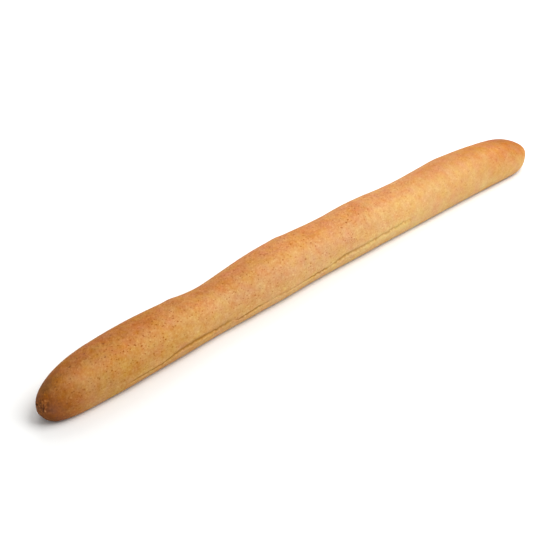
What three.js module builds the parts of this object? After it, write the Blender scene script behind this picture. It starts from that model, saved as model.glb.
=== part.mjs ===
// A long soft-crust baguette as one solid, lying on the flat base that it was baked on.
//
// Frame: millimetres, +Z up, +X along the loaf. The origin is under the middle of the loaf's box,
// on the plane that the base rests on. The loaf's near side, which carries the split, faces -Y.
//
// The loaf is a skin over rings. Each ring is a section across the loaf: a rounded arch that is
// widest low down, curls in under itself and meets the flat base at a blunt edge. The arch's size
// along the loaf comes from a plain body, a few hand-shaped swells and the two rounded ends.

import * as THREE from "three";

// Driving dimensions.
const LOAF_LENGTH = 570;
const BODY_WIDTH = 43.8; // before the swells
const BODY_HEIGHT = 33.2; // before the swells
const WIDEST_LEVEL = 0.42; // height of the widest line, as a share of the loaf's height
const SIDEWAYS_BOW = 5.2; // how far the middle lies towards +Y from the line through the tips
const BASE_CUT = 3; // how much of the arch's underside the flat base cuts away

// The swells left by rolling the dough: where, how much in height and width together, how far.
// The three short ones make its small knuckles.
const SWELLS = [
  { at: -189, gain: 10, reach: 79 },
  { at: -107, gain: -2.6, reach: 21 },
  { at: -24, gain: 12, reach: 57 },
  { at: 75, gain: 8.5, reach: 49 },
  { at: 182, gain: 6.6, reach: 49 },
  { at: -134, gain: 1, reach: 7 },
  { at: -12, gain: 0.9, reach: 6 },
  { at: 187, gain: 0.7, reach: 12 },
];

// The near side's own shallow waves, in half width. It lies too straight to share the swells.
const NEAR_WAVES = [
  { at: -242, gain: -1.8, reach: 22 },
  { at: -112, gain: -1.1, reach: 28 },
  { at: -38, gain: 0.9, reach: 20 },
  { at: 12, gain: -0.6, reach: 26 },
];

// The rounded ends: over what length the plan, the top and the base draw in to the tip.
const NEAR_END = { plan: 51, top: 64, base: 13, tipHeight: 12.3 };
const FAR_END = { plan: 29, top: 82, base: 10, tipHeight: 14.4 };
const END_POWER = 2; // 2 is a plain ellipse, more is blunter
const BASE_EDGE_FADE = 2; // how far from a tip the base's blunt edge starts to round away

// The section's powers: 2 is a plain ellipse, more is fuller.
const UPPER_POWER = 2.2;
const LOWER_POWER = 2.6;

// The side split: its route as [place along the loaf, degrees below the widest line].
const SPLIT_ROUTE = [
  [-201, 14],
  [-180, 14],
  [-154, 4],
  [-117, 4],
  [-92, 9],
  [-52, 7],
  [-30, 9],
  [10, 8],
  [35, 1],
  [62, 1],
  [113, -3],
];
const SPLIT_DEPTH = 1.6;
const SPLIT_FADE = 26; // length over which the split opens up and closes again
const LIP_ANGLE = 3; // degrees from the bottom of the split to either lip
const LIP_RISE = 0.35; // how far the lower lip stands proud

// Fineness of the faceted solid.
const STATION_COUNT = 108;
const TIP_CROWDING = 6; // a higher power keeps the crowding of stations nearer to the tips
const ARCH_STEPS = 17;
const SKIRT_STEPS = 4;
const BASE_STEPS = 3;
const ROUTE_SAMPLES = 20; // samples of the split's curve for each point of its route

// How far an end has opened at a distance from its tip: 0 at the tip, 1 where the body is full.
function endOpening(distance, length) {
  const inside = THREE.MathUtils.clamp(1 - distance / length, 0, 1);
  return Math.pow(1 - Math.pow(inside, END_POWER), 1 / END_POWER);
}

// The joint gain of some waves at one place along the loaf. Each wave is a bell curve.
function gainAt(x, waves) {
  const gains = waves.map((wave) => wave.gain * Math.exp(-(((x - wave.at) / wave.reach) ** 2)));
  return gains.reduce((sum, gain) => sum + gain, 0);
}

// How far open the split is at one place: 0 outside its route, 1 along its middle.
function splitOpening(x) {
  const start = SPLIT_ROUTE[0][0];
  const end = SPLIT_ROUTE[SPLIT_ROUTE.length - 1][0];
  const fromStart = THREE.MathUtils.smoothstep(x, start, start + SPLIT_FADE);
  const toEnd = THREE.MathUtils.smoothstep(end - x, 0, SPLIT_FADE);
  return Math.min(fromStart, toEnd);
}

// The split's angle at one place, on a smooth curve through its route.
const splitCurve = new THREE.SplineCurve(SPLIT_ROUTE.map(([x, degrees]) => new THREE.Vector2(x, degrees)));
const splitSamples = splitCurve.getPoints(ROUTE_SAMPLES * SPLIT_ROUTE.length);

function splitAngle(x) {
  const next = splitSamples.findIndex((sample) => sample.x >= x);
  if (next === 0) return THREE.MathUtils.degToRad(splitSamples[0].y);
  if (next < 0) return THREE.MathUtils.degToRad(splitSamples[splitSamples.length - 1].y);
  const before = splitSamples[next - 1];
  const after = splitSamples[next];
  const share = (x - before.x) / (after.x - before.x);
  return THREE.MathUtils.degToRad(THREE.MathUtils.lerp(before.y, after.y, share));
}

// The sizes of the section at one place along the loaf.
function sectionSizes(x) {
  const fromNearTip = x + LOAF_LENGTH / 2;
  const fromFarTip = LOAF_LENGTH / 2 - x;
  const opening = (size) => endOpening(fromNearTip, NEAR_END[size]) * endOpening(fromFarTip, FAR_END[size]);
  const tipHeight = x < 0 ? NEAR_END.tipHeight : FAR_END.tipHeight;
  const halfSwell = gainAt(x, SWELLS) / 2;
  const height = BODY_HEIGHT + halfSwell;
  return {
    nearHalf: (BODY_WIDTH / 2 + gainAt(x, NEAR_WAVES)) * opening("plan"),
    farHalf: (BODY_WIDTH / 2 + halfSwell) * opening("plan"),
    centre: SIDEWAYS_BOW * (1 - (x / (LOAF_LENGTH / 2)) ** 2),
    top: THREE.MathUtils.lerp(tipHeight, height, opening("top")),
    widest: THREE.MathUtils.lerp(tipHeight, WIDEST_LEVEL * height, opening("top")),
    base: tipHeight * (1 - opening("base")),
    cut: BASE_CUT * opening("plan") ** BASE_EDGE_FADE,
  };
}

// A point of the section: angle 0 is the far side's widest line, 90 degrees is the top.
function sectionPoint(sizes, angle) {
  const upper = Math.sin(angle) >= 0;
  const power = 2 / (upper ? UPPER_POWER : LOWER_POWER);
  const across = Math.sign(Math.cos(angle)) * Math.abs(Math.cos(angle)) ** power;
  const along = Math.abs(Math.sin(angle)) ** power;
  const half = across > 0 ? sizes.farHalf : sizes.nearHalf;
  const drop = sizes.widest - sizes.base + sizes.cut;
  return {
    y: sizes.centre + half * across,
    z: sizes.widest + (upper ? (sizes.top - sizes.widest) * along : -drop * along),
  };
}

// How far below the widest line the arch meets the flat base.
function baseEdgeAngle(sizes) {
  const drop = sizes.widest - sizes.base;
  return Math.asin((drop / (drop + sizes.cut)) ** (LOWER_POWER / 2));
}

// One ring, in order from the far side's base edge over the top to the near side, then across the base.
function ringPoints(x) {
  const sizes = sectionSizes(x);
  const edge = baseEdgeAngle(sizes);
  const split = Math.PI + splitAngle(x);
  const lip = THREE.MathUtils.degToRad(LIP_ANGLE);
  const opening = splitOpening(x);
  const points = [];

  for (let step = 0; step <= ARCH_STEPS; step++) {
    const angle = THREE.MathUtils.lerp(-edge, split - lip, step / ARCH_STEPS);
    points.push(sectionPoint(sizes, angle));
  }
  const bottom = sectionPoint(sizes, split);
  bottom.y += SPLIT_DEPTH * opening;
  points.push(bottom);
  for (let step = 0; step <= SKIRT_STEPS; step++) {
    const angle = THREE.MathUtils.lerp(split + lip, Math.PI + edge, step / SKIRT_STEPS);
    const point = sectionPoint(sizes, angle);
    point.y -= LIP_RISE * opening * (1 - step / SKIRT_STEPS);
    points.push(point);
  }
  const nearEdge = points[points.length - 1];
  const farEdge = points[0];
  for (let step = 1; step < BASE_STEPS; step++) {
    const y = THREE.MathUtils.lerp(nearEdge.y, farEdge.y, step / BASE_STEPS);
    points.push({ y, z: sizes.base });
  }
  return points.map((point) => new THREE.Vector3(x, point.y, point.z));
}

// Places of the rings: even along the body and closer together towards the tips.
function stationPlaces() {
  const places = [];
  for (let step = 1; step < STATION_COUNT; step++) {
    const even = (2 * step) / STATION_COUNT - 1;
    const crowded = Math.sin((even * Math.PI) / 2);
    const share = (1 + even ** TIP_CROWDING) / 2;
    places.push((LOAF_LENGTH / 2) * THREE.MathUtils.lerp(even, crowded, share));
  }
  return places;
}

// The skin over all rings, closed by a fan of triangles at each tip.
function loafGeometry() {
  const rings = stationPlaces().map(ringPoints);
  const ringSize = rings[0].length;
  const vertices = rings.flat();
  const nearTip = vertices.push(new THREE.Vector3(-LOAF_LENGTH / 2, 0, NEAR_END.tipHeight)) - 1;
  const farTip = vertices.push(new THREE.Vector3(LOAF_LENGTH / 2, 0, FAR_END.tipHeight)) - 1;

  const triangles = [];
  for (let ring = 0; ring < rings.length; ring++) {
    for (let step = 0; step < ringSize; step++) {
      const here = ring * ringSize + step;
      const beside = ring * ringSize + ((step + 1) % ringSize);
      if (ring === 0) triangles.push(nearTip, beside, here);
      if (ring === rings.length - 1) triangles.push(farTip, here, beside);
      else triangles.push(here, beside, here + ringSize, beside, beside + ringSize, here + ringSize);
    }
  }

  const geometry = new THREE.BufferGeometry().setFromPoints(vertices);
  geometry.setIndex(triangles);
  return geometry;
}

// Puts the origin under the middle of the geometry's box.
function standOnOrigin(geometry) {
  geometry.computeBoundingBox();
  const middle = geometry.boundingBox.getCenter(new THREE.Vector3());
  return geometry.translate(-middle.x, -middle.y, -geometry.boundingBox.min.z);
}

const crust = new THREE.MeshStandardMaterial({ color: 0xc98f4e, roughness: 0.75, metalness: 0 });

const loaf = new THREE.Mesh(standOnOrigin(loafGeometry()), crust);
loaf.name = "loaf";
loaf.geometry.computeVertexNormals();

const baguette = new THREE.Group();
baguette.add(loaf);

export default baguette;
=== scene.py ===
# %% [markdown]
# # A soft-crust baguette
# A long loaf with a thin matt crust: golden on its back, browner towards its ends, and
# paler and yellower low on its sides, where it stayed away from the oven's heat.
# This lesson builds it in Blender in two parts: a mesh that follows one rule, grown by
# Geometry Nodes, and one crust material in which a single number, the browning, picks
# the colour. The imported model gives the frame: its size, its place and its names.

import math

import bpy
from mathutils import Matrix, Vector


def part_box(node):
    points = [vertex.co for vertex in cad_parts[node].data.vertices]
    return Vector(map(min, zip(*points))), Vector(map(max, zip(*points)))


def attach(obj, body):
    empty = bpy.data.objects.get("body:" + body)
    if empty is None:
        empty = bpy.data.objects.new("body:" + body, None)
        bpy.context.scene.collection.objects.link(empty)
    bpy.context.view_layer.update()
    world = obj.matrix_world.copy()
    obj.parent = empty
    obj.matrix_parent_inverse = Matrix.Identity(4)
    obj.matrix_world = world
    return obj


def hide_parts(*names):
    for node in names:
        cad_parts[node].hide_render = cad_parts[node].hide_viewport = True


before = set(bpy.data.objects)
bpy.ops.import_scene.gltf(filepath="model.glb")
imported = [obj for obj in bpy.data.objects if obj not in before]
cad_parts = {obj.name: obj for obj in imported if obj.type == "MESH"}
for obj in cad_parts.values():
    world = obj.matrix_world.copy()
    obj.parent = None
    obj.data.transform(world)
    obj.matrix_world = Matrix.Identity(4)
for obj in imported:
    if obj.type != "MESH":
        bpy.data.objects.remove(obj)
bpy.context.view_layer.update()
MM = 0.001

loaf_low, loaf_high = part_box("loaf")
LOAF_LENGTH = (loaf_high.x - loaf_low.x) / MM
BASE_LEVEL = loaf_low.z
print("loaf from the frame, in millimetres:", [round(side / MM, 1) for side in loaf_high - loaf_low])

# %% [markdown]
# ## Colours as they are
# Blender's default view transform bends colours to look filmic, which greys a golden
# crust. The Standard transform shows each colour as it was mixed, which makes bread
# easier to judge.

# %% Pick the view transform
scene = bpy.context.scene
scene.view_settings.view_transform = "Standard"
scene.view_settings.look = "None"
print("view transform:", scene.view_settings.view_transform)

# %% [markdown]
# ## Where the viewer stands
# The loaf is seen from its near end and from above, with a long lens from one and a half
# metres away. A long lens keeps the loaf's width nearly even along its length, and the
# near end is only a little larger than the far one.

# %% Set up the camera
VIEW_AZIMUTH = math.radians(-45)
VIEW_ELEVATION = math.radians(34)
VIEW_DISTANCE = 1.456
VIEW_LENS = 109.5
VIEW_PIVOT = Vector((0.0, -6.3, 17.0)) * MM  # the camera stands round this point
VIEW_AIM = Vector((-36.0, -12.4, 17.0)) * MM  # and looks at this one


def from_above(azimuth, elevation):
    """The direction from the loaf towards something that stands round it."""
    flat = math.cos(elevation)
    return Vector((math.sin(azimuth) * flat, -math.cos(azimuth) * flat, math.sin(elevation)))


def look_at(thing, target):
    """Turns a camera or a lamp so that it looks at the target."""
    thing.rotation_euler = (thing.location - target).to_track_quat("Z", "Y").to_euler()


camera = bpy.data.objects.new("camera", bpy.data.cameras.new("camera"))
camera.data.lens = VIEW_LENS
camera.location = VIEW_PIVOT + from_above(VIEW_AZIMUTH, VIEW_ELEVATION) * VIEW_DISTANCE
look_at(camera, VIEW_AIM)
scene.collection.objects.link(camera)
scene.camera = camera
print("camera at", [round(place, 3) for place in camera.location])

# %% [markdown]
# ## Floor
# Bread is judged on a pale counter, which sends soft light back up under the loaf. A
# single large face with a matt paint is enough, as only its light matters.

# %% Lay the floor
FLOOR_SIDE = 12.0
FLOOR_COLOUR = (0.80, 0.80, 0.79, 1)
FLOOR_ROUGHNESS = 0.8
FLOOR_GLOSS = 0.2


def floor_paint():
    """A matt material of one even pale colour."""
    material = bpy.data.materials.new("floor_paint")
    material.use_nodes = True
    shader = material.node_tree.nodes["Principled BSDF"]
    shader.inputs["Base Color"].default_value = FLOOR_COLOUR
    shader.inputs["Roughness"].default_value = FLOOR_ROUGHNESS
    shader.inputs["Specular IOR Level"].default_value = FLOOR_GLOSS
    return material


half = FLOOR_SIDE / 2
floor_corners = [(-half, -half), (half, -half), (half, half), (-half, half)]
floor_mesh = bpy.data.meshes.new("floor")
floor_mesh.from_pydata([(x, y, BASE_LEVEL) for x, y in floor_corners], [], [(0, 1, 2, 3)])
floor_mesh.materials.append(floor_paint())
floor = bpy.data.objects.new("floor", floor_mesh)
scene.collection.objects.link(floor)
print("floor", FLOOR_SIDE, "m square")

# %% [markdown]
# ## Light
# Soft light shows a matt crust best. The main lamp is a wide softbox out beyond the far
# end, so the crust dims gently towards the near end. A second, weaker one stands behind
# the loaf and brushes its back, and a pale sky lights the rest.

# %% Hang the lamps
LAMP_DISTANCE = 1.4
LAMP_SIDE = 1.2
LAMP_COLOUR = (1.0, 1.0, 1.0)
SKY_COLOUR = (1.0, 1.0, 1.0, 1)
SKY_STRENGTH = 0.58


def softbox(name, azimuth, elevation, watts):
    """A square lamp that looks at the middle of the loaf from a direction in degrees."""
    lamp = bpy.data.objects.new(name, bpy.data.lights.new(name, "AREA"))
    lamp.data.shape = "SQUARE"
    lamp.data.size = LAMP_SIDE
    lamp.data.energy = watts
    lamp.data.color = LAMP_COLOUR
    lamp.location = from_above(math.radians(azimuth), math.radians(elevation)) * LAMP_DISTANCE
    look_at(lamp, Vector((0, 0, 0)))
    scene.collection.objects.link(lamp)


softbox("main_softbox", azimuth=45, elevation=57, watts=22)
softbox("back_softbox", azimuth=140, elevation=35, watts=12)

sky = bpy.data.worlds.new("sky")
sky.use_nodes = True
sky.node_tree.nodes["Background"].inputs["Color"].default_value = SKY_COLOUR
sky.node_tree.nodes["Background"].inputs["Strength"].default_value = SKY_STRENGTH
scene.world = sky

# %% [markdown]
# ## Arithmetic in a node tree
# Both the shape and the crust are formulas. Math nodes can hold any formula, but wiring
# them one by one hides it. A small class fixes that: it stands for the wire that leaves
# a node's output, and each +, -, * or / on it adds one Math node and returns its wire.


# %% Stand in for a wire
class Wire:
    """A wire in a node tree. Arithmetic on one that carries a number adds Math nodes."""

    def __init__(self, socket):
        self.socket = socket
        self.tree = socket.id_data

    def math(self, operation, *others):
        """One Math node with this wire as its first input."""
        node = self.tree.nodes.new("ShaderNodeMath")
        node.operation = operation
        for slot, value in zip(node.inputs, (self, *others)):
            plug(slot, value)
        return Wire(node.outputs[0])

    def __add__(self, other):
        return self.math("ADD", other)

    def __sub__(self, other):
        return self.math("SUBTRACT", other)

    def __rsub__(self, other):
        return self.math("MULTIPLY_ADD", -1, other)

    def __mul__(self, other):
        return self.math("MULTIPLY", other)

    def __truediv__(self, other):
        return self.math("DIVIDE", other)

    def __pow__(self, other):
        return self.math("POWER", other)

    __radd__ = __add__
    __rmul__ = __mul__


def plug(slot, value):
    """Feeds a node's input from a wire, or sets it to a plain value."""
    if isinstance(value, Wire):
        value.tree.links.new(value.socket, slot)
    else:
        slot.default_value = value


def new_node(tree, kind, inputs, **settings):
    """A node of some kind, with its settings and its inputs filled in."""
    node = tree.nodes.new(kind)
    for name, value in settings.items():
        setattr(node, name, value)
    for name, value in inputs.items():
        plug(node.inputs[name], value)
    return node


print("arithmetic on wires ready")


# %% Add the few functions that both trees need
def clamp(value):
    """The value held between 0 and 1."""
    return value.math("MAXIMUM", 0).math("MINIMUM", 1)


def mix(start, end, share):
    """From start to end as share goes from 0 to 1."""
    return start + (end - start) * share


def smooth(value, start, end):
    """A soft step, from 0 at start to 1 at end. The end may be the lower of the two."""
    inputs = {"Value": value, "From Min": start, "From Max": end}
    node = new_node(value.tree, "ShaderNodeMapRange", inputs, interpolation_type="SMOOTHSTEP")
    return Wire(node.outputs["Result"])


def bell(value, centre, reach):
    """A bell curve: 1 at the centre, near 0 at twice the reach."""
    return (((value - centre) / reach) ** 2 * -1).math("EXPONENT")


def split_vector(vector):
    """The x, y and z of a vector's wire, as three wires."""
    node = new_node(vector.tree, "ShaderNodeSeparateXYZ", {0: vector})
    return [Wire(output) for output in node.outputs]


def join_vector(x, y, z):
    """A vector's wire from x, a wire, and y and z, which may be plain numbers."""
    node = new_node(x.tree, "ShaderNodeCombineXYZ", {"X": x, "Y": y, "Z": z})
    return Wire(node.outputs[0])


def noise(point, size, detail, seed):
    """Cloudy noise round 0, from about -1 to 1, with clouds of the given size."""
    inputs = {"Vector": point, "W": seed, "Scale": 1 / size, "Detail": detail}
    node = new_node(point.tree, "ShaderNodeTexNoise", inputs, noise_dimensions="4D")
    return (Wire(node.outputs[0]) - 0.5) * 4


def patch(point, centre, reach):
    """A soft patch on a surface: 1 at its centre, near 0 at twice its reach, in millimetres."""
    square = 0
    for part, middle, size in zip(split_vector(point), centre, reach):
        square = ((part / MM - middle) / size) ** 2 + square
    return (square * -1).math("EXPONENT")


print("soft steps, bell curves, noise and patches ready")

# %% [markdown]
# ## The loaf's rule
# A baguette is rolled dough. Seen along its length it is a plain body with five soft
# swells and three short knuckles, left by the baker's hands, and it draws in to a rounded
# tip at either end. The near side lies straighter than the far one: in place of the
# swells it has small waves of its own. Cut across, the loaf is an arch: widest low down,
# curling in under itself and flat where it lay on the tray. A sculpted mesh could show
# this, but a rule is easier to get right, as each named size does one job. These are the
# rule's sizes, in millimetres.

# %% Name the loaf's sizes
BODY_WIDTH = 43.8  # before the swells
BODY_HEIGHT = 33.2  # before the swells
WIDEST_LEVEL = 0.42  # height of the widest line, as a share of the loaf's height
SIDEWAYS_BOW = 5.2  # how far the middle lies beyond the line through the tips
CENTRE_OFFSET = 6.3  # from the line through the tips to the middle of the loaf's box
BASE_CUT = 3.0  # how much of the arch's underside the flat base cuts away

SWELLS = [  # where, how much in height and width together, how far
    (-189, 10.0, 79),
    (-107, -2.6, 21),
    (-24, 12.0, 57),
    (75, 8.5, 49),
    (182, 6.6, 49),
    (-134, 1.0, 7),
    (-12, 0.9, 6),
    (187, 0.7, 12),
]
NEAR_WAVES = [  # the near side's own shallow waves: where, how much in half width, how far
    (-242, -1.8, 22),
    (-112, -1.1, 28),
    (-38, 0.9, 20),
    (12, -0.6, 26),
]

# The rounded ends: over what length the plan, the top and the base draw in to the tip.
NEAR_END = {"plan": 51, "top": 64, "base": 13, "tip height": 12.3}
FAR_END = {"plan": 29, "top": 82, "base": 10, "tip height": 14.4}
END_POWER = 2  # 2 is a plain ellipse, more is blunter
BASE_EDGE_FADE = 2  # how far from a tip the base's blunt edge starts to round away

# The section's powers: 2 is a plain ellipse, more is fuller.
UPPER_POWER = 2.2
LOWER_POWER = 2.6
print(len(SWELLS), "swells on a body", BODY_WIDTH, "x", BODY_HEIGHT, "mm")

# %% [markdown]
# ## The split's route
# Low on one side the crust tore in the oven, in a thin line that wanders, fades and
# starts again. A straight groove would look cut with a knife, so two given curves lead
# it: its route, in degrees below the loaf's widest line, and how far the tear stands
# open along it.

# %% Draw the split's route
SPLIT_ROUTE = [  # place along the loaf, degrees below the widest line
    (-201, 14),
    (-180, 14),
    (-154, 4),
    (-117, 4),
    (-99, 3),
    (-94, 10),
    (-75, 7),
    (-52, 7),
    (-30, 9),
    (10, 8),
    (35, 1),
    (62, 1),
    (113, -3),
]
SPLIT_OPEN = [  # place along the loaf, share of the tear's full depth
    (-214, 0.0),
    (-198, 0.8),
    (-178, 0.8),
    (-150, 0.95),
    (-118, 0.8),
    (-104, 0.7),
    (-97, 0.3),
    (-89, 1.0),
    (-70, 0.9),
    (-58, 0.45),
    (-38, 0.45),
    (-18, 0.5),
    (-5, 0.9),
    (8, 0.9),
    (15, 0.4),
    (23, 0.85),
    (42, 0.7),
    (62, 0.6),
    (102, 0.55),
    (114, 0.0),
]
ROUTE_RANGE = 30  # the route's curve can go this many degrees either way
print("split from", SPLIT_OPEN[0][0], "to", SPLIT_OPEN[-1][0], "mm along the loaf")

# %% [markdown]
# The near tip has marks of its own, where the dough's end was pinched shut: three short
# cracks, two pale chips beside them and a light scuff above, all in rough skin, and a
# redder blush on the side. They are few, so each is a soft patch, placed one by one.

# %% Place the tip's marks
TIP_CRACKS = [  # centre, then reach: along, across and up, in millimetres
    ((-283.8, -10.7, 15.6), (2.5, 0.8, 2.8)),
    ((-284.2, -2.6, 16.2), (2.5, 1.4, 1.6)),
    ((-285.0, -7.6, 19.5), (2.5, 0.7, 1.2)),
]
TIP_CHIPS = [
    ((-284.7, -8.9, 13.2), (2.5, 0.7, 1.0)),
    ((-283.0, -12.2, 14.4), (2.5, 0.5, 1.3)),
]
TIP_SCUFF = ((-280.0, -10.4, 21.2), (3.0, 3.2, 0.7))
TIP_ROUGH = ((-284.5, -7.0, 17.0), (6.0, 7.0, 6.0))
TIP_BLUSH = ((-274.0, -17.0, 17.0), (8.0, 7.0, 7.0))
print(len(TIP_CRACKS), "cracks and", len(TIP_CHIPS), "chips at the near tip")

# %% [markdown]
# ## Growing the loaf
# The tree starts from a flat grid. One side of the grid runs along the loaf and the
# other runs once round it. Each grid point is moved to its place on the loaf by the rule,
# then the doubled points along the seam and at the tips are merged. Doing it this way
# gives clean rows of faces, and a map of the surface for free: the grid's own corners.
# The tree's inputs carry the sizes by name, so the loaf can be made longer or plumper
# without touching a node.

# %% Name the tree's inputs
LOAF_SIZES = {  # the tree's inputs, in millimetres unless they say otherwise
    "Length": LOAF_LENGTH,
    "Body Width": BODY_WIDTH,
    "Body Height": BODY_HEIGHT,
    "Sideways Bow": SIDEWAYS_BOW,
    "Base Cut": BASE_CUT,
    "Centre Offset": CENTRE_OFFSET,
    "Split Depth": 1.0,
    "Split Half Width": 1.8,
    "Split Wobble": 1.0,  # in degrees
    "Lip Height": 0.25,
    "Lumps": 0.22,
    "Ripple": 0.04,
    "Seed": 11.0,  # picks the skin's pattern, not a size
}
print(len(LOAF_SIZES), "inputs:", ", ".join(LOAF_SIZES))

# %% Start the tree from its inputs and a flat grid
RINGS = 840
ARCH_STEPS = 74  # over the arch, from the far side's base edge to the tear
GROOVE_STEPS = 22  # across the tear, where the mesh is finest
SKIRT_STEPS = 10  # from the tear down to the base
BASE_STEPS = 10  # back across the flat base
AROUND = ARCH_STEPS + GROOVE_STEPS + SKIRT_STEPS + BASE_STEPS

rule = bpy.data.node_groups.new("loaf_rule", "GeometryNodeTree")
rule.interface.new_socket("Geometry", in_out="OUTPUT", socket_type="NodeSocketGeometry")
for name in LOAF_SIZES:
    rule.interface.new_socket(name, in_out="INPUT", socket_type="NodeSocketFloat")
entrance = rule.nodes.new("NodeGroupInput")
sizes = {name: Wire(entrance.outputs[name]) for name in LOAF_SIZES}

grid_inputs = {"Size X": 2, "Size Y": AROUND, "Vertices X": RINGS + 1, "Vertices Y": AROUND + 1}
grid = new_node(rule, "GeometryNodeMeshGrid", grid_inputs)
mesh = Wire(grid.outputs["Mesh"])
print("grid of", RINGS, "steps along the loaf and", AROUND, "round it")

# %% [markdown]
# A map is needed wherever the crust is saved as a picture. A loaf is far longer than it
# is wide, so its skin is laid out in two strips, one for each half, which fills the
# square map better than one long thin strip.

# %% Lay the surface flat for its map
STRIP_HEIGHT = 0.48
STRIP_MARGIN = 0.01


def store(mesh, name, value, data_type="FLOAT", domain="POINT"):
    """Stores a value on the mesh under a name."""
    inputs = {"Geometry": mesh, "Name": name, "Value": value}
    settings = {"data_type": data_type, "domain": domain}
    node = new_node(mesh.tree, "GeometryNodeStoreNamedAttribute", inputs, **settings)
    return Wire(node.outputs[0])


map_along, map_around, _ = split_vector(Wire(grid.outputs["UV Map"]))
face_middle = new_node(rule, "GeometryNodeFieldOnDomain", {0: map_along}, domain="FACE")
on_far_strip = Wire(face_middle.outputs[0]).math("GREATER_THAN", 0.5)
map_up = map_around * STRIP_HEIGHT + STRIP_MARGIN + on_far_strip * 0.5
flat_map = join_vector(map_along * 2 - on_far_strip, map_up, 0)
mesh = store(mesh, "OFBake", flat_map, "FLOAT2", "CORNER")
print("map in two strips, each", STRIP_HEIGHT, "of the square high")

# %% [markdown]
# ## Along the loaf
# The body is as wide and as high all along. The swells are bell curves that add to it,
# and both ends draw in along an ellipse. The rings stand closer together towards the
# tips, where the surface turns fastest.

# %% Size the section at every place along the loaf
TIP_CROWDING = 4  # a higher power keeps the crowding of the rings nearer to the tips


def end_opening(distance, length):
    """0 at a tip, 1 from the given length on, along an ellipse."""
    inside = (1 - distance / length).math("MAXIMUM", 0)
    return (1 - inside**END_POWER) ** (1 / END_POWER)


def open_up(size):
    """How far the loaf has opened from both its tips: 0 at a tip, 1 along the body."""
    return end_opening(from_near_tip, NEAR_END[size]) * end_opening(from_far_tip, FAR_END[size])


def waves(table):
    """The joint gain of some waves. Each wave is a bell curve."""
    return sum(bell(x, place, reach) * gain for place, gain, reach in table)


even, step_round, _ = split_vector(Wire(rule.nodes.new("GeometryNodeInputPosition").outputs[0]))
crowded = (even * (math.pi / 2)).math("SINE")
half_length = sizes["Length"] * 0.5
x = mix(even, crowded, even**TIP_CROWDING) * half_length

from_near_tip = (x + half_length).math("MAXIMUM", 0)
from_far_tip = (half_length - x).math("MAXIMUM", 0)
plan = open_up("plan")
half_swell = waves(SWELLS) * 0.5
near_half = (sizes["Body Width"] * 0.5 + waves(NEAR_WAVES)) * plan
far_half = (sizes["Body Width"] * 0.5 + half_swell) * plan
centre = sizes["Sideways Bow"] * (1 - (x / half_length) ** 2)

tip_height = mix(NEAR_END["tip height"], FAR_END["tip height"], x.math("GREATER_THAN", 0))
full_height = sizes["Body Height"] + half_swell
top = mix(tip_height, full_height, open_up("top"))
widest = mix(tip_height, full_height * WIDEST_LEVEL, open_up("top"))
base = tip_height * (1 - open_up("base"))
cut = sizes["Base Cut"] * plan**BASE_EDGE_FADE
print("sizes along the loaf take", len(rule.nodes), "nodes so far")

# %% [markdown]
# ## Round the loaf
# The section is an arch in two halves. Each is a superellipse, which is an ellipse with
# its own power: the upper half is a little fuller than an ellipse, and the lower half is
# fuller still before it meets the flat base.

# %% Draw the section
TINY = 1e-6  # keeps a division by zero away from the very tips


def section_point(angle):
    """The y and z of the section at an angle: 0 is the far side, 90 degrees the top."""
    sine = angle.math("SINE")
    cosine = angle.math("COSINE")
    below = sine.math("LESS_THAN", 0)
    power = mix(2 / UPPER_POWER, 2 / LOWER_POWER, below)
    sideways = cosine.math("ABSOLUTE") ** power * cosine.math("SIGN")
    upwards = sine.math("ABSOLUTE") ** power
    half_width = mix(near_half, far_half, cosine.math("GREATER_THAN", 0))
    rise = mix(top - widest, base - widest - cut, below)
    return centre + half_width * sideways, widest + rise * upwards


arch_drop = widest - base
base_edge = ((arch_drop / (arch_drop + cut + TINY)) ** (LOWER_POWER / 2)).math("ARCSINE")
far_edge_y, _ = section_point(base_edge * -1)
print("section drawn with powers", UPPER_POWER, "above and", LOWER_POWER, "below")

# %% [markdown]
# ## The tear's line
# Crust tears where it is weakest, so its line is never smooth. Two noises shake the
# drawn route: a slower one makes it wander, and a faster one gives it small teeth.

# %% Lead the tear along its route
TEETH_SIZE = 1.1  # degrees
WINDOW = math.radians(8)  # either side of the tear, this much gets the finest mesh


def along_curve(points):
    """A curve through given points, read at every place along the loaf."""
    node = new_node(rule, "ShaderNodeFloatCurve", {"Value": (x + LOAF_LENGTH / 2) / LOAF_LENGTH})
    curve = node.mapping.curves[0]
    while len(curve.points) < len(points):
        curve.points.new(0.5, 0.5)
    for handle, (place, level) in zip(curve.points, points):
        handle.location = ((place + LOAF_LENGTH / 2) / LOAF_LENGTH, level)
    node.mapping.update()
    return Wire(node.outputs[0])


def line_noise(length, detail, shift):
    """Noise along the loaf, from about -1 to 1, with waves of the given length."""
    inputs = {"W": x + shift, "Scale": 1 / length, "Detail": detail}
    node = new_node(rule, "ShaderNodeTexNoise", inputs, noise_dimensions="1D")
    return (Wire(node.outputs[0]) - 0.5) * 4


route_levels = [(place, 0.5 + degrees / ROUTE_RANGE / 2) for place, degrees in SPLIT_ROUTE]
route = (along_curve(route_levels) - 0.5) * (2 * ROUTE_RANGE)
wander = line_noise(length=6.25, detail=3, shift=0) * sizes["Split Wobble"]
teeth = line_noise(length=3.125, detail=2, shift=500)
split_at = (route + wander + teeth * TEETH_SIZE + 180) * math.radians(1)
opening = along_curve(SPLIT_OPEN)
print("route drawn through", len(SPLIT_ROUTE), "points, opening through", len(SPLIT_OPEN))

# %% [markdown]
# With the tear's line known, the grid's steps can be shared out round the section: over
# the arch, across the tear, down the skirt below it, and back over the flat base.


# %% Share out the steps round the loaf
def steps(start, count):
    """How far a stretch of steps has been gone through, from 0 to 1."""
    return clamp((step_round + AROUND / 2 - start) / count)


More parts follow.
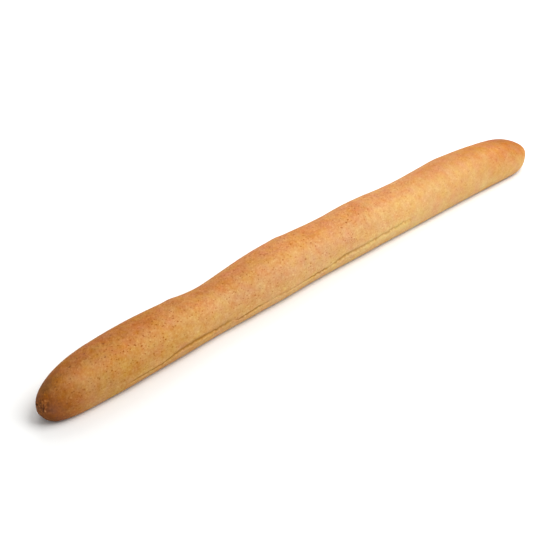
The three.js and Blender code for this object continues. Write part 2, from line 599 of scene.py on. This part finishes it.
groove_start = ARCH_STEPS
skirt_start = groove_start + GROOVE_STEPS
base_start = skirt_start + SKIRT_STEPS
arch_turn = (split_at - WINDOW + base_edge) * steps(0, ARCH_STEPS)
groove_turn = steps(groove_start, GROOVE_STEPS) * (2 * WINDOW)
skirt_turn = (math.pi - WINDOW + base_edge - split_at) * steps(skirt_start, SKIRT_STEPS)
angle = arch_turn + groove_turn + skirt_turn - base_edge

arch_y, arch_z = section_point(angle)
base_share = steps(base_start, BASE_STEPS)
plain_y = mix(arch_y, far_edge_y, base_share)
plain_z = mix(arch_z.math("MAXIMUM", base), base, base_share.math("GREATER_THAN", 0))
print("steps round the loaf start at", [0, groove_start, skirt_start, base_start])

# %% [markdown]
# ## Opening the tear
# The tear is a sharp crease. The crust below it curls outwards in a proud lip, and the
# crust above it rolls over more softly. Noise makes the crease wider and narrower and
# the lips chewed. The crust needs to know later how deep in the tear a point lies and
# how near the tear it is, so both are stored on the mesh.

# %% Press the crease in and raise its lips
CREASE_POWER = 1.2  # 1 is a plain V, more narrows its bottom
TEETH_GAPE = 0.35  # how much the teeth widen and narrow the crease
SLOW_GAPE = 0.30  # how much a slower noise does
CHEWED = 0.8  # how much the lips' height comes and goes
LIPS = [  # how far below the tear, how far it reaches, share of the lip's height
    (2.16, 1.26, 1.0),
    (-2.52, 1.62, 0.6),  # the one above the tear
]
NEAR_TEAR = (0.5, 5.0)  # the strip beside the tear: how far below it, how far it reaches
NEAR_TEAR_GAIN = 1.5  # the strip is whole where the tear stands two thirds open

from_split = (angle - split_at) * near_half
line = join_vector(x, 0, 0)
gape = noise(line, size=11.0, detail=1, seed=5.0) * SLOW_GAPE
crease_half_width = sizes["Split Half Width"] * (teeth * TEETH_GAPE + gape + 1)
crease = clamp(1 - from_split.math("ABSOLUTE") / crease_half_width) ** CREASE_POWER
chewed = noise(line, size=4.0, detail=2, seed=6.0) * CHEWED + 1
lips = sum(bell(from_split, place, reach) * share for place, reach, share in LIPS)
outward = (lips * chewed * sizes["Lip Height"] - crease * sizes["Split Depth"]) * opening
y = plain_y + angle.math("COSINE") * outward
z = plain_z + angle.math("SINE") * outward

half_chewed = chewed * 0.5 + 0.5
near_tear = bell(from_split, *NEAR_TEAR) * clamp(opening * NEAR_TEAR_GAIN) * half_chewed
mesh = store(mesh, "tear", crease * opening)
mesh = store(mesh, "near_tear", near_tear)
print("tear", LOAF_SIZES["Split Depth"], "mm deep and", 2 * LOAF_SIZES["Split Half Width"], "mm wide")

# %% [markdown]
# Until now the loaf is only a set of formulas, in millimetres. One node moves every grid
# point to its place, in metres. The grid's two long edges now meet in a seam, and each of
# its short edges has shrunk to a point, so doubled points are merged to close the skin.

# %% Move the points into place
MERGE_DISTANCE = 1e-6

position = join_vector(x * MM, (y - sizes["Centre Offset"]) * MM, z * MM + BASE_LEVEL)
moved = new_node(rule, "GeometryNodeSetPosition", {"Geometry": mesh, "Position": position})
merge_inputs = {"Geometry": Wire(moved.outputs[0]), "Distance": MERGE_DISTANCE}
mesh = Wire(new_node(rule, "GeometryNodeMergeByDistance", merge_inputs).outputs[0])
print("points in metres, doubled points merged")

# %% [markdown]
# ## Skin
# Even a smooth crust isn't smooth: it has soft lumps a few centimetres across and a fine
# ripple. Both fade out at the flat base. The near tip gets its rough skin and its cracks.
# All of this moves the points along the surface's own normals.

# %% Raise the skin's relief
FREE_HEIGHT = 5.0  # the skin has its full relief from this height above the base
ROUGH_HEIGHT = 0.45
TIP_CRACK_DEPTH = 0.9
RAGGED = 0.8  # how much the cracks' depth comes and goes

point = Wire(rule.nodes.new("GeometryNodeInputPosition").outputs[0])
normal = split_vector(Wire(rule.nodes.new("GeometryNodeInputNormal").outputs[0]))
above_base = (split_vector(point)[2] - BASE_LEVEL) / MM
seed = sizes["Seed"]

lumps = noise(point, size=0.030, detail=1, seed=seed) * sizes["Lumps"]
ripple = noise(point, size=0.005, detail=2, seed=seed + 3) * sizes["Ripple"]
relief = (lumps + ripple) * smooth(above_base, 0, FREE_HEIGHT)

rough = patch(point, *TIP_ROUGH)
rough_relief = rough * noise(point, size=0.0025, detail=3, seed=seed + 8) * ROUGH_HEIGHT
ragged = noise(point, size=0.0015, detail=1, seed=seed + 7) * RAGGED + 1
crack_relief = sum(patch(point, *crack) for crack in TIP_CRACKS) * ragged * TIP_CRACK_DEPTH

mesh = store(mesh, "pinched", rough)
rise = (relief + rough_relief - crack_relief) * MM
offset = join_vector(*[part * rise for part in normal])
raised = new_node(rule, "GeometryNodeSetPosition", {"Geometry": mesh, "Offset": offset})
mesh = Wire(raised.outputs[0])
print("rule written in", len(rule.nodes), "nodes")

# %% [markdown]
# ## The crust
# Crust colour comes from one thing: how far the surface browned. So the material works
# out a browning number first and turns it into a colour once, with a ramp that runs from
# pale skin through gold to dark brown. A painted picture could show the same, but a
# formula stays sharp at any size. First the material finds where on the loaf a point
# lies: how far along, how high, and which way its side faces.

# %% Find each point's place on the crust
AXIS_HEIGHT = 15.0  # the loaf's middle line, above its base
TIP_BLEND = 11.0  # within this distance of the middle line the sides' colours blend
HOT_SIDE = math.radians(110)  # the direction that browned most, turned up from the near side
LEAN = 30  # how much further along the golden area reaches low on the sides

crust = bpy.data.materials.new("baguette_crust")
crust.use_nodes = True
crust_tree = crust.node_tree
crust_point = Wire(crust_tree.nodes.new("ShaderNodeTexCoord").outputs["Object"])
crust_x, crust_y, crust_z = split_vector(crust_point)

along = crust_x / MM
height = (crust_z - BASE_LEVEL) / MM
outwards = crust_y / -MM
upwards = height - AXIS_HEIGHT
from_axis = (outwards * outwards + upwards * upwards).math("SQRT").math("MAXIMUM", TIP_BLEND)
facing = (outwards * math.cos(HOT_SIDE) + upwards * math.sin(HOT_SIDE)) / from_axis
leaning = along - smooth(facing, 0.7, -0.1) * LEAN
ways = {"along": along, "height": height, "facing": facing, "leaning": leaning}
print("crust material has", len(crust_tree.nodes), "nodes so far")

# %% [markdown]
# ## How far each area browned
# Every cause adds its share to the browning: the back of the loaf stood in the heat, the
# tips browned most, and the rim touched the hot tray. Along most of the split the fresh
# skin is paler. An area's recipe is a few fades and hills multiplied together, such as
# "towards the near tip, and low down". "Facing" is 1 on the hottest side of the loaf and
# -1 on the opposite one.


# %% Mix an area from fades and hills
def fade(way, start, end):
    """Part of a recipe: a soft step on one of the ways, from 0 at start to 1 at end."""
    return smooth, way, start, end


def hill(way, centre, reach):
    """Part of a recipe: a bell curve round a place on one of the ways."""
    return bell, way, centre, reach


def blend(rows):
    """The sum of some areas. Each row has an amount, then the area's fades and hills."""
    total = 0
    for amount, *recipe in rows:
        share = amount
        for shape, way, first, second in recipe:
            share = shape(ways[way], first, second) * share
        total = share + total
    return total


print("areas can be mixed along these ways:", ", ".join(ways))

# %% Say how far each area browned
BACK = fade("facing", 0.38, 1.08)
NEAR_HALF = fade("along", 20, -230)
PAST_NEAR_TIP = fade("along", -290, -230)
NEAR_BASE = (fade("along", -258, -290), fade("height", 13, 2))
SKIRT = (hill("along", -145, 35), fade("facing", -0.05, -0.45))
LEAST_BROWNING = 0.09
BROWNING = [
    (0.08, fade("facing", -0.8, 0.2)),  # both sides, more towards the back
    (0.12, BACK),
    (0.06, BACK, PAST_NEAR_TIP),
    (-0.063, BACK, fade("along", 205, 250)),
    (0.07, NEAR_HALF),
    (0.024, NEAR_HALF, BACK),
    (0.012, NEAR_HALF, BACK, PAST_NEAR_TIP),
    (0.02, hill("facing", 0.65, 0.4), hill("along", -225, 45)),
    (0.39, fade("along", -243, -296)),  # the near tip
    (0.04, fade("along", -200, -280)),
    (0.12, fade("along", 190, 260), fade("facing", -0.5, 0.4)),  # the far end
    (0.17, fade("along", 243, 277), fade("facing", -0.8, 0.2)),
    (0.08, fade("along", 200, 250), fade("height", 5, 0)),
    (0.09, fade("along", -105, -250), fade("facing", 0.7, -0.3)),  # the near end's side
    (0.21, *NEAR_BASE),
    (0.04, fade("height", 2, 0)),  # the rim on the tray
    (0.14, fade("height", 0.6, 0)),
    (0.04, *SKIRT),
    (-0.048, hill("along", 125, 45)),
]
FRESH_SKIN = [  # how much paler the strip beside the tear is
    (0.05,),
    (0.05, hill("along", 80, 40)),
    (-0.085, hill("along", -108, 20)),
]
BLUSH_BROWNING = -0.055


def attribute(name):
    """A value stored on the mesh."""
    return Wire(new_node(crust_tree, "ShaderNodeAttribute", {}, attribute_name=name).outputs["Fac"])


blush = patch(crust_point, *TIP_BLUSH)
heat = blend(BROWNING) + LEAST_BROWNING + blush * BLUSH_BROWNING
heat = heat - attribute("near_tear") * blend(FRESH_SKIN)
print("browning from", len(BROWNING), "areas")

# %% [markdown]
# ## Blotches and grain
# Dough browns unevenly at every scale. Four noises of different sizes add and take away a
# little browning: broad clouds, patches a centimetre across, grain and fine dust. The
# dust is stretched at a slant, because the dough's skin is drawn out when it is rolled.
# Grain and dust are calmer on the far end and much stronger on the pinched tip.

# %% Make the browning uneven
BROAD_AMOUNT = 0.025
PATCH_AMOUNT = 0.025
FAR_PATCH_AMOUNT = 0.031  # beyond the middle
GRAIN_AMOUNT = 0.050
DUST_AMOUNT = 0.075
CALMER_END = 0.3  # what the grain and the dust lose towards the far end
PINCHED_GRAIN = 3  # what they gain on the pinched tip
PINCHED_DUST = 2  # what the dust gains there on top of that

calm_end = smooth(along, 60, 180)
pinched = attribute("pinched")
roughness_here = 1 - calm_end * CALMER_END + pinched * PINCHED_GRAIN
broad = noise(crust_point, size=0.045, detail=2, seed=1.0) * BROAD_AMOUNT
patch_amount = mix(PATCH_AMOUNT, FAR_PATCH_AMOUNT, smooth(along, -60, 60))
patches = noise(crust_point, size=0.012, detail=3, seed=2.0) * patch_amount
grain = noise(crust_point, size=0.0032, detail=3, seed=3.0) * roughness_here * GRAIN_AMOUNT
slanted = join_vector((crust_x + crust_y) * 0.35, (crust_x - crust_y) * 0.7, crust_z)
dust_here = roughness_here + pinched * PINCHED_DUST
dust = noise(slanted, size=0.0013, detail=2, seed=6.0) * dust_here * DUST_AMOUNT
uneven = heat + broad + patches + grain + dust
print("crust material has", len(crust_tree.nodes), "nodes so far")

# %% [markdown]
# ## Pores, highlight flecks and the tip's marks
# Gas bubbles leave dark pores in the crust, and tiny blisters beside them catch the light
# in pale flecks, which are painted highlights. Both are spots in a Voronoi pattern: each of
# its cells has a random colour, which decides whether it holds a spot and how large. The
# pattern is shaken a little first, so that no spot is perfectly round.

# %% Scatter small spots
SPOT_STRETCH = (0.7, 1, 1)  # less than 1 makes the spots longer along the loaf
SPOT_SHAKE = 0.0006


def vector_math(operation, *vectors):
    """One Vector Math node. The first of the vectors is a wire."""
    inputs = dict(enumerate(vectors))
    return Wire(new_node(crust_tree, "ShaderNodeVectorMath", inputs, operation=operation).outputs[0])


def shaken(size, distance):
    """The crust's points moved about a little, in clouds of the given size."""
    cloud = new_node(crust_tree, "ShaderNodeTexNoise", {"Vector": crust_point, "Scale": 1 / size})
    centred = vector_math("SUBTRACT", Wire(cloud.outputs["Color"]), (0.5, 0.5, 0.5))
    return vector_math("MULTIPLY_ADD", centred, (2 * distance,) * 3, crust_point)


def spots(spacing, size, share, seed):
    """Small spots: 1 in a spot, 0 outside, in only some of the pattern's cells."""
    stretched = vector_math("MULTIPLY_ADD", spot_point, SPOT_STRETCH, (seed, seed, seed))
    cells = new_node(crust_tree, "ShaderNodeTexVoronoi", {"Vector": stretched, "Scale": 1 / spacing})
    luck, growth, _ = split_vector(Wire(cells.outputs["Color"]))
    distance = Wire(cells.outputs["Distance"]) * (spacing / size)
    spot = smooth(distance, growth * 0.5 + 0.7, growth * 0.5 + 0.2)
    return spot * luck.math("LESS_THAN", share)


spot_point = shaken(size=0.0012, distance=SPOT_SHAKE)
print("spots are shaken by up to", round(SPOT_SHAKE / MM, 1), "mm")

# %% Place the pores and the highlight flecks
PORES = [  # darkness, then spacing, size, share of the cells and seed
    (0.7, 0.0019, 0.0006, 0.58, 3.0),
    (0.8, 0.0028, 0.00075, 0.45, 4.0),
    (1.0, 0.0080, 0.0010, 0.22, 5.0),
]
FAR_PORES = 0.5  # share of the pores left out towards the far end
FAR_HIGHLIGHT_FLECKS = 0.4  # and of the flecks

pore_cloud = smooth(noise(crust_point, size=0.035, detail=2, seed=7.0), -0.7, 0.6)
pore_amount = mix(0.3, 1, pore_cloud) * mix(0.4, 1, smooth(facing, -0.6, 0.2))
pore_amount = pore_amount * (1 - calm_end * FAR_PORES) * mix(0.5, 1, smooth(along, -285, -235))
pores = clamp(sum(spots(*pore) * darkness for darkness, *pore in PORES)) * pore_amount
# The pale flecks are painted highlights, where tiny blisters would catch the light.
highlight_flecks = spots(spacing=0.0024, size=0.0008, share=0.55, seed=8.0) * (1 - calm_end * FAR_HIGHLIGHT_FLECKS)
print(len(PORES), "sizes of pores and one of flecks")

# %% Mark the tip and sum up the browning
PORE_BROWNING = 0.28
# The flecks' lightening is a painted highlight.
HIGHLIGHT_FLECK_AMOUNT = -0.07
CRACK_BROWNING = 0.45
CHIP_BROWNING = -0.28
SCUFF_BROWNING = -0.196
MARK_GAIN = 1.6  # fills a mark's middle
MARK_CUT = 0.4  # and cuts its faint outskirts off


def marks(table):
    """1 inside marks placed by hand, 0 outside, with a torn and fairly sharp edge."""
    return clamp(sum(patch(torn_point, *mark) for mark in table) * MARK_GAIN - MARK_CUT)


torn_point = shaken(size=0.0020, distance=0.0010)
spotted = uneven + pores * PORE_BROWNING + highlight_flecks * HIGHLIGHT_FLECK_AMOUNT
marked = spotted + marks(TIP_CRACKS) * CRACK_BROWNING + marks(TIP_CHIPS) * CHIP_BROWNING
browning = clamp(marked + marks([TIP_SCUFF]) * SCUFF_BROWNING)
print("crust material has", len(crust_tree.nodes), "nodes so far")

# %% [markdown]
# ## From browning to colour
# The ramp holds the crust's colours in the order in which bread browns. Browning alone
# doesn't say everything about them, so the ramp's colour is turned a little afterwards.

# %% Turn the browning into a colour
CRUST_COLOURS = [  # browning, then red, green and blue
    (0.00, (0.630, 0.425, 0.165)),
    (0.10, (0.575, 0.328, 0.124)),
    (0.30, (0.440, 0.190, 0.056)),
    (0.50, (0.296, 0.097, 0.015)),
    (0.65, (0.195, 0.060, 0.010)),
    (1.00, (0.080, 0.025, 0.004)),
]

ramp = new_node(crust_tree, "ShaderNodeValToRGB", {0: browning})
stops = ramp.color_ramp.elements
while len(stops) < len(CRUST_COLOURS):
    stops.new(0.5)
for stop, (level, colour) in zip(stops, CRUST_COLOURS):
    stop.position = level
    stop.color = (*colour, 1)
print("ramp of", len(stops), "crust colours")

# %% [markdown]
# The low side of the near end is a yellower gold than browning alone would make it, the
# middle of the back is warmer and lighter, and the scorched tip is less red. The same
# recipes as before say where, and three tables say how much: for the hue, for the
# colour's strength and for its lightness. Small noises shake all three a little.

# %% Say how each area is tinted
LOW_SIDE = fade("facing", 0.7, -0.1)
GOLDEN = (fade("along", -265, -215), fade("leaning", -90, -190))
LEMON = (hill("along", -228, 20), LOW_SIDE)
CORAL = (hill("along", 0, 45), fade("facing", 0.5, 0.95))
PINK = (hill("facing", 0.25, 0.3), fade("along", -130, -70), fade("along", 90, 20))
HUE = [  # above 0 is yellower, below 0 is redder
    (0.006, *GOLDEN, LOW_SIDE),
    (0.004, *LEMON),
    (-0.002, *CORAL),
    (-0.002, *PINK),
    (-0.004, *SKIRT),
    (0.007, fade("along", -235, -285), fade("facing", 0.3, 0.9)),
    (-0.004, fade("along", 225, 260), fade("facing", 0, 0.5)),
]
STRENGTH = [  # above 0 is stronger, below 0 is greyer
    (0.032, *GOLDEN),
    (-0.02, *LEMON),
    (0.02, *CORAL),
    (-0.035, *PINK),
    (-0.05, *NEAR_BASE),
    (0.03, fade("along", 180, 240), fade("facing", 0.8, 0.3)),
    (0.025, fade("along", 200, 245), fade("facing", 0.2, 0.6)),
]
LIGHTNESS = [  # above 0 is lighter
    (0.06, fade("facing", 0.3, 0.8), fade("along", -180, -90), fade("along", 140, 40)),
]
BLUSH_HUE = -0.009
BLUSH_STRENGTH = -0.045
print("tints:", len(HUE), "in hue,", len(STRENGTH), "in strength,", len(LIGHTNESS), "in lightness")

# %% Tint the crust
TIP_WARMTH = 0.006  # how much the hue shakes at the near tip
BODY_WARMTH = 0.013  # and elsewhere
FINE_STRENGTH = 0.050
BROAD_STRENGTH = 0.025
FINE_LIGHTNESS = 0.02

warmth_amount = mix(TIP_WARMTH, BODY_WARMTH, smooth(along, -285, -240))
warmth = noise(crust_point, size=0.011, detail=4, seed=10.0) * warmth_amount
fine_strength = noise(crust_point, size=0.007, detail=3, seed=12.0) * FINE_STRENGTH
broad_strength = noise(crust_point, size=0.022, detail=2, seed=14.0) * BROAD_STRENGTH
fine_lightness = noise(crust_point, size=0.012, detail=3, seed=15.0) * FINE_LIGHTNESS
tint_inputs = {
    "Color": Wire(ramp.outputs["Color"]),
    "Hue": blend(HUE) + blush * BLUSH_HUE + warmth + 0.5,
    "Saturation": blend(STRENGTH) + blush * BLUSH_STRENGTH + fine_strength + broad_strength + 1,
    "Value": blend(LIGHTNESS) + fine_lightness + 1,
}
tinted = Wire(new_node(crust_tree, "ShaderNodeHueSaturation", tint_inputs).outputs["Color"])
print("crust material has", len(crust_tree.nodes), "nodes so far")

# %% [markdown]
# The crumb inside the tear lies in its own shade, so there the crust's colour is mixed
# towards one dark colour, which is painted shade. Crust is nearly matt, and the browner it
# is the smoother it has baked. The pores and the grain are also pressed into the surface
# with a bump, as they are too fine to be worth faces.

# %% Finish the crust's surface
MIX_START = 6  # a Mix node has these sockets for two colours and their mixture
MIX_END = 7
MIX_RESULT = 2
# The tear's dark colour is painted shade in the crease.
TEAR_SHADE_COLOUR = (0.285, 0.118, 0.004, 1)
TEAR_SHADE = 0.78  # how much of that colour shows at the tear's bottom
FAR_TEAR_SHADE = 0.70  # and further along the loaf
CRUST_ROUGHNESS = 0.72
BROWNED_ROUGHNESS = -0.12  # what full browning adds to the roughness
CRUST_GLOSS = 0.10
BUMP_HEIGHT = 0.3 * MM
BUMP_STRENGTH = 0.8
GRAIN_BUMP = 1.5
PORE_BUMP = -0.9

deepest_shade = mix(TEAR_SHADE, FAR_TEAR_SHADE, smooth(along, -130, -60))
tear_shade = deepest_shade * smooth(attribute("tear"), 0, 0.9)
mix_inputs = {"Factor": tear_shade, MIX_START: tinted, MIX_END: TEAR_SHADE_COLOUR}
shaded_tear_colour = new_node(crust_tree, "ShaderNodeMix", mix_inputs, data_type="RGBA")

bump_inputs = {
    "Distance": BUMP_HEIGHT,
    "Strength": BUMP_STRENGTH,
    "Height": (patches - dust - grain) * GRAIN_BUMP + pores * PORE_BUMP,
}
shader = crust_tree.nodes["Principled BSDF"]
plug(shader.inputs["Base Color"], Wire(shaded_tear_colour.outputs[MIX_RESULT]))
plug(shader.inputs["Roughness"], browning * BROWNED_ROUGHNESS + CRUST_ROUGHNESS)
plug(shader.inputs["Specular IOR Level"], CRUST_GLOSS)
plug(shader.inputs["Normal"], Wire(new_node(crust_tree, "ShaderNodeBump", bump_inputs).outputs[0]))
print("crust material with", len(crust_tree.nodes), "nodes")

# %% [markdown]
# ## From nodes to a plain mesh
# The loaf's tree ends by making everything real and putting the crust on it. The
# modifier's inputs are set before the loaf is first worked out. Then the result is
# copied to a plain mesh and the modifier goes, so that what is kept is only geometry.

# %% End the tree
smooth_faces = new_node(rule, "GeometryNodeSetShadeSmooth", {"Geometry": mesh})
realized = new_node(rule, "GeometryNodeRealizeInstances", {0: Wire(smooth_faces.outputs[0])})
paint_inputs = {"Geometry": Wire(realized.outputs[0]), "Material": crust}
painted = new_node(rule, "GeometryNodeSetMaterial", paint_inputs)
new_node(rule, "NodeGroupOutput", {"Geometry": Wire(painted.outputs[0])})
print("tree ends in", painted.name)

# %% Make the loaf
holder = bpy.data.objects.new("holder", bpy.data.meshes.new("holder"))
scene.collection.objects.link(holder)
modifier = holder.modifiers.new("loaf_rule", "NODES")
modifier.node_group = rule
for item in rule.interface.items_tree:
    if item.in_out == "INPUT":
        modifier[item.identifier] = LOAF_SIZES[item.name]

evaluated = holder.evaluated_get(bpy.context.evaluated_depsgraph_get())
loaf_mesh = bpy.data.meshes.new_from_object(evaluated)
loaf_mesh.name = "baguette_loaf"
bpy.data.objects.remove(holder)
loaf = bpy.data.objects.new("baguette_loaf", loaf_mesh)
scene.collection.objects.link(loaf)
print("loaf:", len(loaf_mesh.vertices), "points,", len(loaf_mesh.polygons), "faces")
print("maps:", [layer.name for layer in loaf_mesh.uv_layers], "stored:", loaf_mesh.attributes.keys())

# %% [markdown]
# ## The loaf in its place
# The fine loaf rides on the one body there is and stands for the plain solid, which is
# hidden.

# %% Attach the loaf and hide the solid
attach(loaf, "root")
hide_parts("loaf")
